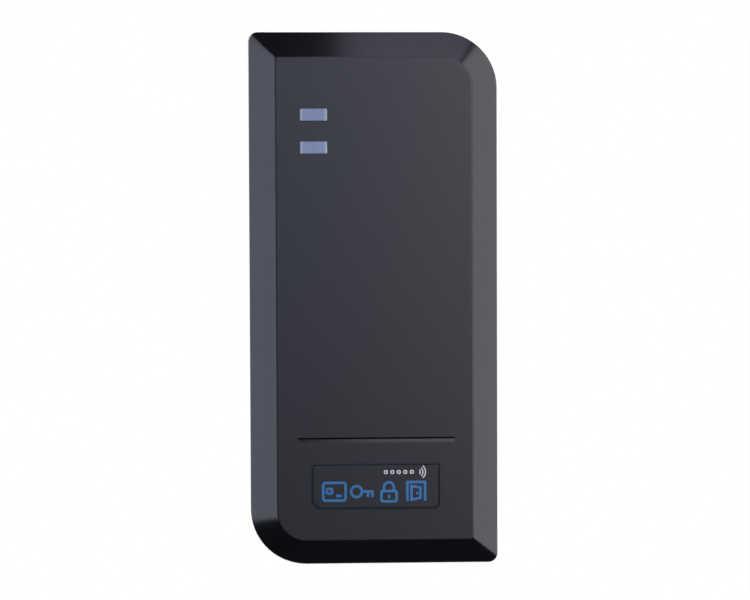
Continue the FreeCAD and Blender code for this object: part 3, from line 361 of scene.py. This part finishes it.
MATERIALS = {
    "housing_black": housing_black(),
    "plate_black": moulded("plate_black", (0.016, 0.016, 0.018), 0.5, grain=0.35, depth=0.01),
    "window_blue": window_blue(),
    "badge_silver": badge_film(),
    "adhesive_grey": foam("adhesive_grey", (0.22, 0.22, 0.22)),
    "rubber_black": rubber("rubber_black", (0.02, 0.02, 0.021)),
    "screw_steel": metal("screw_steel", (0.58, 0.59, 0.60), 0.32),
    "lock_steel": metal("lock_steel", (0.55, 0.55, 0.54), 0.26, lines=(1, 1, 6)),
    "insert_brass": metal("insert_brass", (0.72, 0.52, 0.22), 0.3, lines=(1, 1, 5)),
    "label_white": label_film(),
    "board_green": solder_mask(),
    "former_white": moulded("former_white", (0.62, 0.60, 0.52), 0.45, edge_wear_and_highlight=1.1, spread=0.05),
    "copper_wire": metal("copper_wire", (0.72, 0.28, 0.10), 0.3),
    "chip_black": moulded("chip_black", (0.018, 0.018, 0.02), 0.55, grain=0.12, depth=0.008),
    "can_metal": metal("can_metal", (0.70, 0.70, 0.71), 0.3, lines=(4, 1, 4)),
    "ferrite_grey": moulded("ferrite_grey", (0.05, 0.05, 0.055), 0.65, grain=0.18, depth=0.02),
    "ceramic_tan": moulded("ceramic_tan", (0.36, 0.24, 0.13), 0.5, grain=0.1, depth=0.004, edge_wear_and_highlight=1.2),
    "lamp_white": lamp(),
    "baffle_white": foam("baffle_white", (0.66, 0.66, 0.66)),
    "film_yellow": film_capacitor(),
    "header_ivory": moulded("header_ivory", (0.62, 0.57, 0.42), 0.42, edge_wear_and_highlight=1.1, spread=0.05),
    "contact_tin": metal("contact_tin", (0.72, 0.72, 0.70), 0.28),
    "ink_blue": ink("ink_blue", (0.022, 0.17, 0.42)),
    "ink_white": ink("ink_white", (0.75, 0.77, 0.80)),
    "ink_dark": ink("ink_dark", (0.03, 0.03, 0.035)),
    "track_green": ink("track_green", (0.012, 0.15, 0.055), 0.3),
}


def dress_cad_nodes():
    """Each carried-over CAD node gets the finish of its material slot."""
    slots = {part["node"]: part["material_slot"] for part in frame["record"]["subparts"]}
    for name, node in frame["nodes"].items():
        node.data.materials.clear()
        node.data.materials.append(MATERIALS[slots[name]].material)


# ---------------------------------------------------------------------------------------------
# Mesh tools, in metres
# ---------------------------------------------------------------------------------------------


TO_FRONT = Matrix.Rotation(math.radians(90), 4, "X")


def in_mm(x, y, z):
    return Vector((x, y, z)) * MM


def bridge(form, first, second):
    """Quads between two rings of the same count."""
    count = len(first)
    for i in range(count):
        form.faces.new((first[i], first[(i + 1) % count], second[(i + 1) % count], second[i]))


def add_rows(form, rows, place, segments, closed=False):
    """A skin about the local Z axis from rows of (height, radius as a number or a function of the angle)."""
    rings = []
    for height, radius in rows:
        ring = []
        for i in range(segments):
            angle = 2 * math.pi * i / segments
            out = radius(angle) if callable(radius) else radius
            point = Vector((out * math.cos(angle), out * math.sin(angle), height))
            ring.append(form.verts.new(place @ (point * MM)))
        rings.append(ring)
    for first, second in zip(rings, rings[1:]):
        bridge(form, first, second)
    if closed:
        bridge(form, rings[-1], rings[0])
    else:
        form.faces.new(rings[0])
        form.faces.new(rings[-1])


def add_prism(form, outline, low, high, place=TO_FRONT):
    """A closed outline of (x, z) in millimetres, drawn out along the local Z axis."""
    ends = [[form.verts.new(place @ in_mm(x, z, height)) for x, z in outline] for height in (low, high)]
    bridge(form, *ends)
    form.faces.new(ends[0])
    form.faces.new(ends[1])


def add_ribbon(form, points, width, low, high, closed=False):
    """A flat printed line along points (x, z), mitred at its corners, from one depth to another (mm)."""
    count = len(points)
    path = [Vector(point) for point in points]
    rows = []
    for i, here in enumerate(path):
        before = path[i - 1] if i or closed else here - (path[1] - here)
        after = path[(i + 1) % count] if i < count - 1 or closed else here + (here - path[i - 1])
        way_in, way_out = (here - before).normalized(), (after - here).normalized()
        along = (way_in + way_out).normalized()
        across = Vector((-along.y, along.x)) * (width / 2 / max(0.5, along.dot(way_out)))
        corners = ((across, low), (-across, low), (-across, high), (across, high))
        points = [in_mm(here.x + side.x, -depth, here.y + side.y) for side, depth in corners]
        rows.append([form.verts.new(point) for point in points])
    for i in range(count if closed else count - 1):
        bridge(form, rows[i], rows[(i + 1) % count])
    if not closed:
        form.faces.new(rows[0])
        form.faces.new(rows[-1])


def add_loop(form, outline, depth, radius, sides=8):
    """A closed turn of round wire along an outline of (x, z) at a depth (mm)."""
    count = len(outline)
    rings = []
    for i, (x, z) in enumerate(outline):
        run = Vector(outline[(i + 1) % count]) - Vector(outline[i - 1])
        out = Vector((run.y, -run.x)).normalized()
        ring = []
        for j in range(sides):
            angle = 2 * math.pi * j / sides
            side, deep = radius * math.cos(angle), radius * math.sin(angle)
            ring.append(form.verts.new(in_mm(x + out.x * side, -(depth + deep), z + out.y * side)))
        rings.append(ring)
    for i in range(count):
        bridge(form, rings[i], rings[(i + 1) % count])


def arc(x, z, radius, start, end, steps=12):
    """Points (x, z) along an arc, from one angle to another in degrees, anticlockwise from the right."""
    turn = [math.radians(start + (end - start) * i / steps) for i in range(steps + 1)]
    return [(x + radius * math.cos(angle), z + radius * math.sin(angle)) for angle in turn]


def rounded(x, z, width, height, radius, steps=6):
    """The outline of a rectangle with round corners, given by its centre."""
    right, up = width / 2 - radius, height / 2 - radius
    corners = ((right, up, 0), (-right, up, 90), (-right, -up, 180), (right, -up, 270))
    turns = [arc(x + dx, z + dz, radius, start, start + 90, steps) for dx, dz, start in corners]
    return sum(turns, [])


def make_piece(name, form, finish, body, stands_for=(), crease=32):
    """A mesh piece that rides on a body, smooth except along edges sharper than crease degrees."""
    bmesh.ops.recalc_face_normals(form, faces=form.faces)
    for face in form.faces:
        face.smooth = True
    for edge in form.edges:
        if len(edge.link_faces) == 2:
            edge.smooth = edge.calc_face_angle() < math.radians(crease)
    mesh = bpy.data.meshes.new(name)
    form.to_mesh(mesh)
    form.free()
    mesh.materials.append(MATERIALS[finish].material)
    piece = bpy.data.objects.new(name, mesh)
    bpy.context.scene.collection.objects.link(piece)
    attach(piece, body)
    if stands_for:
        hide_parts(*stands_for)
    return piece


def solids_of(node):
    """The lowest and highest corners, in millimetres, of each separate solid of a CAD node."""
    form = bmesh.new()
    form.from_mesh(frame["nodes"][node].data)
    bmesh.ops.remove_doubles(form, verts=form.verts, dist=1e-7)
    left, boxes = set(form.verts), []
    while left:
        edge, found = [left.pop()], []
        while edge:
            vert = edge.pop()
            found.append(vert.co / MM)
            for link in vert.link_edges:
                other = link.other_vert(vert)
                if other in left:
                    left.remove(other)
                    edge.append(other)
        boxes.append((Vector(map(min, *found)), Vector(map(max, *found))))
    form.free()
    return sorted(boxes, key=lambda box: (round(box[0].x, 2), round(box[0].z, 2)))


# ---------------------------------------------------------------------------------------------
# Detailed pieces
# ---------------------------------------------------------------------------------------------


def small_signs(x, z):
    """A row of key pads and three growing arcs."""
    pads = [(rounded(x + 1.25 * i, z, 0.55, 0.55, 0.15, 3), True) for i in range(5)]
    return pads + [(arc(x + 6.1, z, reach, -48, 48, 8), False) for reach in (0.55, 1.05, 1.55)]


def card_sign(x, z):
    """A blank card with a chip."""
    lines = [(rounded(x, z, 4.3, 3.4, 0.45), True), (rounded(x - 0.95, z + 0.1, 1.0, 0.9, 0.15, 3), True)]
    return lines + [([(x + 0.3, z - 0.8), (x + 1.45, z - 0.8)], False)]


def key_sign(x, z):
    """A key lying down: a bow, a shaft and two teeth."""
    lines = [(arc(x - 1.0, z, 1.05, 0, 345, 23), True), ([(x + 0.3, z), (x + 2.3, z)], False)]
    return lines + [([(x + at, z - 0.25), (x + at, z - 1.1)], False) for at in (1.2, 2.05)]


def lock_sign(x, z):
    """A closed padlock."""
    shackle = [(x + 0.95, z + 0.31), *arc(x, z + 0.8, 0.95, 0, 180, 12), (x - 0.95, z + 0.31)]
    body = rounded(x, z - 0.95, 2.9, 2.0, 0.3, 4)
    return [(shackle, False), (body, True), ([(x, z - 0.7), (x, z - 1.3)], False)]


def door_sign(x, z):
    """A door that stands ajar in its frame."""
    frame_line = [(x - 1.7, z - 1.9), (x - 1.7, z + 1.75), (x + 1.7, z + 1.75), (x + 1.7, z - 1.9)]
    leaf = [(x - 0.9, z - 1.65), (x - 0.9, z + 1.0), (x + 0.8, z + 0.65), (x + 0.8, z - 1.3)]
    return [(frame_line, False), (leaf, True), ([(x + 0.2, z - 0.15), (x + 0.2, z - 0.65)], False)]


def print_badge():
    """The nameplate's print: four blue signs for card, key, lock and door, and small white arcs."""
    low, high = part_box("badge_plate")
    across, up, front = (low.x + high.x) / 2 / MM, (low.z + high.z) / 2 / MM, -low.y / MM
    signs = (card_sign, key_sign, lock_sign, door_sign)
    blue = bmesh.new()
    for i, sign in enumerate(signs):
        for points, closed in sign(across - 7.9 + 5.25 * i, up - 0.95):
            add_ribbon(blue, points, 0.5, front - SUNK, front + BADGE_INK, closed)
    make_piece("badge_print_blue", blue, "ink_blue", "reader")
    white = bmesh.new()
    for points, closed in small_signs(across + 2.0, up + 2.75):
        add_ribbon(white, points, 0.2, front - SUNK, front + BADGE_INK, closed)
    make_piece("badge_print_white", white, "ink_white", "reader")


def ridge(phase, flat=0.3):
    """A thread's profile over one turn, from 0 in the groove to 1 on the crest."""
    return min(1.0, max(0.0, (1 - abs(2 * phase - 1)) * (1 + flat) - flat / 2))


def thread_rows(start, end, root, crest, pitch, taper):
    """Rows of a threaded shank; its thread fades in at the start and runs out over the taper at its tip."""
    steps = round((end - start) / pitch * 8)
    rows = []
    for i in range(steps + 1):
        height = start + (end - start) * i / steps
        fade = min(1.0, (height - start) / pitch, (end - height) / taper)
        thin = root * min(1.0, 0.35 + 0.65 * (end - height) / taper)

        def radius(angle, height=height, fade=fade, thin=thin):
            return thin + (crest - root) * fade * ridge((height / pitch - angle / (2 * math.pi)) % 1)

        rows.append((height, radius))
    return rows


def carve(piece_form, cutter_form):
    """One bmesh minus another, as a new bmesh."""
    pair = []
    for form in (piece_form, cutter_form):
        bmesh.ops.recalc_face_normals(form, faces=form.faces)
        mesh = bpy.data.meshes.new("carving")
        form.to_mesh(mesh)
        form.free()
        pair.append(bpy.data.objects.new("carving", mesh))
        bpy.context.scene.collection.objects.link(pair[-1])
    cut = pair[0].modifiers.new("cut", "BOOLEAN")
    cut.object = pair[1]
    cut.operation = "DIFFERENCE"
    view = bpy.context.evaluated_depsgraph_get()
    result = bmesh.new()
    result.from_mesh(pair[0].evaluated_get(view).to_mesh())
    for thing in pair:
        bpy.data.objects.remove(thing)
    return result


def cross_outline(reach, thick):
    """A plus sign."""
    half = thick / 2
    quarter = [(reach, -half), (reach, half), (half, half)]
    turns = ((1, 0), (0, 1), (-1, 0), (0, -1))
    return [(x * c - z * s, x * s + z * c) for c, s in turns for x, z in quarter]


def tapping_screws(name):
    """The pan-head tapping screws of a group, each with a cross recess and a coarse thread."""
    form = bmesh.new()
    for low, high in solids_of(name):
        head = (high.x - low.x) / 2
        length = high.y - low.y
        place = Matrix.Translation(in_mm((low.x + high.x) / 2, high.y, (low.z + high.z) / 2)) @ TO_FRONT
        rows = [(0.0, head * 0.35), (0.05, head * 0.62), (0.22, head * 0.83), (0.5, head * 0.95),
                (0.85, head), (1.3, head), (1.4, head * 0.97), (1.4, 0.78)]
        rows += thread_rows(1.45, length, 0.7, 0.94, 0.8, 1.4)
        body, cutter = bmesh.new(), bmesh.new()
        add_rows(body, rows, place, 32)
        add_prism(cutter, cross_outline(head * 0.55, 0.5), -0.4, 0.95, place)
        whole = carve(body, cutter)
        spare = bpy.data.meshes.new("spare")
        whole.to_mesh(spare)
        whole.free()
        form.from_mesh(spare)
    make_piece(name + "_detail", form, "screw_steel", "reader", [name])


def lock_screw():
    """The security screw: a rounded head with a six-sided socket around a pin, and a fine thread."""
    low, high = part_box("lock_screw")
    head = (high.x - low.x) / 2 / MM
    length = (high.z - low.z) / MM
    place = Matrix.Translation(Vector((0, (low.y + high.y) / 2, low.z)))
    rows = [(0.0, head - 1.0), (0.04, head - 0.8), (0.3, head - 0.4), (0.55, head - 0.15), (0.9, head),
            (1.5, head), (1.6, head - 0.1), (1.6, 1.3), (1.75, 1.22)]
    rows += thread_rows(1.8, length, 1.2, 1.49, 0.5, 0.6)
    body, cutter = bmesh.new(), bmesh.new()
    add_rows(body, rows, place, 48)
    socket = 2.0 / math.sqrt(3)
    hexagon = [(socket * math.cos(i * math.pi / 3), socket * math.sin(i * math.pi / 3)) for i in range(6)]
    add_prism(cutter, hexagon, -0.5, 1.1, place)
    whole = carve(body, cutter)
    add_rows(whole, [(1.15, 0.42), (0.35, 0.42), (0.25, 0.34), (0.22, 0.15)], place, 24)
    make_piece("lock_screw_detail", whole, "lock_steel", "lock_screw", ["lock_screw"])


def grommet():
    """The rubber grommet: two flanges with rounded rims and rings moulded on the side towards the wall."""
    low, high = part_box("cable_grommet")
    rim = (high.x - low.x) / 2 / MM
    total = (high.y - low.y) / MM
    bore, neck = 2.6, 4.5
    rows = [(0.12, bore), (0.0, bore + 0.12)]
    for ring in (3.1, 3.7, 4.3):
        rows += [(0.0, ring), (0.28, ring + 0.12), (0.28, ring + 0.26), (0.0, ring + 0.38)]
    rows += [(0.05, rim - 1.3), (0.2, rim - 1.0), (0.62, rim - 0.2), (0.8, rim), (1.3, rim)]
    rows += [(1.4, rim - 0.12), (1.4, neck), (3.4, neck), (3.4, rim - 0.1)]
    rows += [(3.5, rim), (3.9, rim), (4.1, rim - 0.3)]
    rows += [(total - 0.1, rim - 1.1), (total, rim - 1.3), (total, bore + 0.15), (total - 0.15, bore)]
    place = Matrix.Translation(Vector((0, high.y, (low.z + high.z) / 2))) @ TO_FRONT
    form = bmesh.new()
    add_rows(form, rows, place, 64, closed=True)
    make_piece("cable_grommet_detail", form, "rubber_black", "reader", ["cable_grommet"], crease=40)


def antenna_turns():
    """The antenna winding as its separate turns of enamelled wire, side by side between the flanges."""
    low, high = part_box("antenna_coil")
    low, high = low / MM, high / MM
    wire, corner = 0.2, 5.6
    across, up = (low.x + high.x) / 2, (low.z + high.z) / 2
    width, height = high.x - low.x, high.z - low.z
    deep = high.y - low.y
    form = bmesh.new()
    layers = int(2.6 / (2 * wire))
    for layer in range(layers):
        inward = wire + 2 * wire * layer
        outline = rounded(across, up, width - 2 * inward, height - 2 * inward, corner - inward, 8)
        for turn in range(int(deep / (2 * wire))):
            depth = -high.y + wire + (2 * wire + 0.02) * turn
            add_loop(form, outline, depth, wire * 0.97, 6)
    make_piece("antenna_turns", form, "copper_wire", "reader", ["antenna_coil"], crease=80)


def label_print():
    """Rules and empty fields on the type label."""
    low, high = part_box("rear_label")
    across, up, back = (low.x + high.x) / 2 / MM, (low.z + high.z) / 2 / MM, -high.y / MM
    span = (back - LABEL_INK, back + SUNK)
    form = bmesh.new()
    add_ribbon(form, rounded(across, up, 27.2, 13.2, 0.6, 4), 0.2, *span, closed=True)
    for line in (-3.3, 0.0, 3.3):
        add_ribbon(form, [(across - 13.4, up + line), (across + 13.4, up + line)], 0.15, *span)
    for column in (-4.6, 5.2):
        add_ribbon(form, [(across + column, up - 6.5), (across + column, up + 6.5)], 0.15, *span)
    make_piece("label_rules", form, "ink_dark", "reader")


def board_front():
    """The depth, in millimetres, of the board's face that carries the parts."""
    return -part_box("main_board")[0].y / MM


PARTS_WITH_OUTLINES = (
    "microcontroller", "rf_reader_chip", "voltage_regulator", "electrolytic_capacitors", "buzzer", "crystal",
    "power_inductor", "protection_diode", "driver_transistors", "tuning_capacitor", "status_leds",
    "chip_resistors", "chip_capacitors",
)


def board_legend():
    """White outlines around the board's parts, and a dot at one corner of the two large chips."""
    front = board_front()
    form = bmesh.new()
    for node in PARTS_WITH_OUTLINES:
        for low, high in solids_of(node):
            middle = (low + high) / 2
            wide, tall = high.x - low.x + 0.7, high.z - low.z + 0.7
            outline = rounded(middle.x, middle.z, wide, tall, 0.15, 2)
            add_ribbon(form, outline, 0.12, front - SUNK, front + BOARD_INK, closed=True)
    for node in ("microcontroller", "rf_reader_chip"):
        low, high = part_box(node)
        dot = arc(low.x / MM - 0.8, high.z / MM + 0.8, 0.12, 0, 330, 11)
        add_ribbon(form, dot, 0.24, front - SUNK, front + BOARD_INK, closed=True)
    make_piece("board_legend", form, "ink_white", "reader")


TRACK_RUNS = (
    # from, to, how many side by side
    ("microcontroller", "rf_reader_chip", 6), ("microcontroller", "crystal", 2),
    ("microcontroller", "buzzer", 2),
    ("rf_reader_chip", "tuning_capacitor", 3), ("rf_reader_chip", "driver_transistors", 3),
    ("voltage_regulator", "electrolytic_capacitors", 2), ("power_inductor", "voltage_regulator", 2),
    ("protection_diode", "power_inductor", 2), ("status_leds", "microcontroller", 4),
    ("microcontroller", "protection_diode", 2),
)


def board_tracks():
    """Lacquered copper tracks in bundles from part to part."""
    front = board_front()
    form = bmesh.new()
    for start, end, count in TRACK_RUNS:
        a, b = (sum(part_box(node), Vector()) / 2 / MM for node in (start, end))
        for i in range(count):
            aside = (i - (count - 1) / 2) * 0.55
            bend = (a.z + b.z) / 2 + aside * (1 if (b.x - a.x) * (b.z - a.z) < 0 else -1)
            cut = min(0.8, abs(b.x - a.x) / 3, abs(b.z - a.z) / 3)
            side, rise = math.copysign(cut, b.x - a.x), math.copysign(cut, b.z - a.z)
            path = [(a.x + aside, a.z), (a.x + aside, bend - rise), (a.x + aside + side, bend),
                    (b.x + aside - side, bend), (b.x + aside, bend + rise), (b.x + aside, b.z)]
            add_ribbon(form, path, 0.22, front - SUNK, front + TRACK_THICK)
    make_piece("board_tracks", form, "track_green", "reader")


def board_rings():
    """Tinned rings where the coil's leads go into the board, and small ones in a row along its edges."""
    front = board_front()
    leads = [vert.co / MM for vert in frame["nodes"]["coil_leads"].data.vertices]
    feet = [point for point in leads if abs(-point.y - front) < 0.3]
    middle = sum(point.x for point in leads) / len(leads)
    form = bmesh.new()
    for side in (-1, 1):
        own = [point for point in feet if (point.x - middle) * side > 0]
        x, z = (sum(point[axis] for point in own) / len(own) for axis in (0, 2))
        add_ribbon(form, arc(x, z, 0.55, 0, 337.5, 15), 0.35, front - SUNK, front + RING_THICK, closed=True)
    for x in (-17.5, 17.5):
        for i in range(9):
            ring = arc(x, -24 + 7 * i, 0.35, 0, 330, 11)
            add_ribbon(form, ring, 0.25, front - SUNK, front + VIA_THICK, closed=True)
    make_piece("board_rings", form, "contact_tin", "reader")


# ---------------------------------------------------------------------------------------------
# Studio
# ---------------------------------------------------------------------------------------------


def direction(azimuth, elevation):
    """The unit vector towards an azimuth from the front, right positive, and an elevation, in degrees."""
    turn, rise = math.radians(azimuth), math.radians(elevation)
    return Vector((math.sin(turn) * math.cos(rise), -math.cos(turn) * math.cos(rise), math.sin(rise)))


def add_camera():
    """The view from the front: a long lens a little to the left and above."""
    low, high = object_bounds()
    target = (low + high) / 2 + Vector((0.558, 0.05, -0.491)) * MM
    back = direction(-2.583, 2.157)
    data = bpy.data.cameras.new("camera")
    data.lens = 109.78
    data.sensor_width = 36
    data.clip_start = 0.01
    camera = bpy.data.objects.new("camera", data)
    camera.location = target + 0.45 * back
    camera.rotation_mode = "QUATERNION"
    roll = Quaternion((0, 0, 1), math.radians(-0.217))
    camera.rotation_quaternion = (-back).to_track_quat("-Z", "Y") @ roll
    bpy.context.scene.collection.objects.link(camera)
    bpy.context.scene.camera = camera


def add_world():
    """White behind the object, and almost nothing from it in the object's reflections."""
    world = bpy.data.worlds.new("studio")
    world.use_nodes = True
    nodes, links = world.node_tree.nodes, world.node_tree.links
    ambient = nodes["Background"]
    ambient.inputs["Color"].default_value = (0.9, 0.95, 1.0, 1)
    ambient.inputs["Strength"].default_value = 0.03
    white = nodes.new("ShaderNodeBackground")
    white.inputs["Color"].default_value = (1, 1, 1, 1)
    rays = nodes.new("ShaderNodeLightPath")
    choose = nodes.new("ShaderNodeMixShader")
    links.new(rays.outputs["Is Camera Ray"], choose.inputs["Fac"])
    links.new(ambient.outputs["Background"], choose.inputs[1])
    links.new(white.outputs["Background"], choose.inputs[2])
    links.new(choose.outputs["Shader"], nodes["World Output"].inputs["Surface"])
    bpy.context.scene.world = world


def add_softbox(name, place, aim, width, height, radiance, colour=(1, 1, 1)):
    """A plain rectangular softbox at a place, turned towards another, with a given brightness."""
    data = bpy.data.lights.new(name, "AREA")
    data.shape = "RECTANGLE"
    data.size = width
    data.size_y = height
    data.color = colour
    data.energy = radiance * math.pi * width * height
    box = bpy.data.objects.new(name, data)
    box.location = place
    box.rotation_mode = "QUATERNION"
    box.rotation_quaternion = (Vector(aim) - Vector(place)).to_track_quat("-Z", "Y")
    box.visible_camera = False
    bpy.context.scene.collection.objects.link(box)
    return box


SOFTBOXES = [
    # name, place, aim, width, height, radiance, colour
    ("front", (0.03, -0.62, 0.1), (0.03, 0, 0.1), 0.36, 0.4, 1.7, (0.6, 0.7, 1.0)),
    ("key", (0.36, -0.62, 0.1), (0.36, 0, 0.1), 0.3, 0.4, 7.7, (1.0, 0.92, 0.84)),
    ("left", (-0.22, -0.01, 0.0825), (0, -0.01, 0.0825), 0.24, 0.395, 2.15, (0.74, 0.81, 1.0)),
    ("right", (0.22, -0.01, 0.07), (0, -0.01, 0.07), 0.24, 0.42, 2.15, (0.88, 0.9, 1.0)),
    ("top", (0.033, -0.049, 0.12), (0.033, -0.049, 0), 0.074, 0.066, 1.45, (0.82, 0.8, 1.0)),
    ("top_front", (0.07, -0.19, 0.13), (0.07, -0.02, -0.03), 0.14, 0.1, 2.2, (0.85, 0.85, 1.0)),
    ("back", (0.1, 0.5, 0.1), (0, 0, 0), 0.6, 0.6, 2.5, (1, 1, 1)),
    ("back_left", (-0.5, 0.35, 0.3), (0, 0, 0), 0.4, 0.5, 2.5, (0.95, 0.97, 1)),
    ("below", (0, 0.26, -0.4), (0, 0, 0), 0.3, 0.3, 1.3, (1, 1, 1)),
]


def add_lights():
    for row in SOFTBOXES:
        add_softbox(*row)


def add_floor():
    """A pale round floor, well below the wall that the reader hangs on."""
    mesh = bpy.data.meshes.new("floor")
    form = bmesh.new()
    bmesh.ops.create_circle(form, cap_ends=True, segments=96, radius=0.8)
    form.to_mesh(mesh)
    form.free()
    floor = bpy.data.objects.new("floor", mesh)
    floor.location = (0, 0, -0.45)
    pale = Finish("floor_pale", (0.82, 0.82, 0.81), 0.7)
    pale.polish(pale.maths("MULTIPLY_ADD", pale.noise(40.0), 0.2, 0.6))
    mesh.materials.append(pale.material)
    floor.visible_glossy = False
    floor.visible_diffuse = False
    bpy.context.scene.collection.objects.link(floor)


dress_cad_nodes()
print_badge()
tapping_screws("cover_screws")
tapping_screws("board_screws")
lock_screw()
grommet()
antenna_turns()
label_print()
board_legend()
board_tracks()
board_rings()
add_camera()
add_world()
add_lights()
add_floor()
bpy.context.scene.view_settings.view_transform = "Standard"
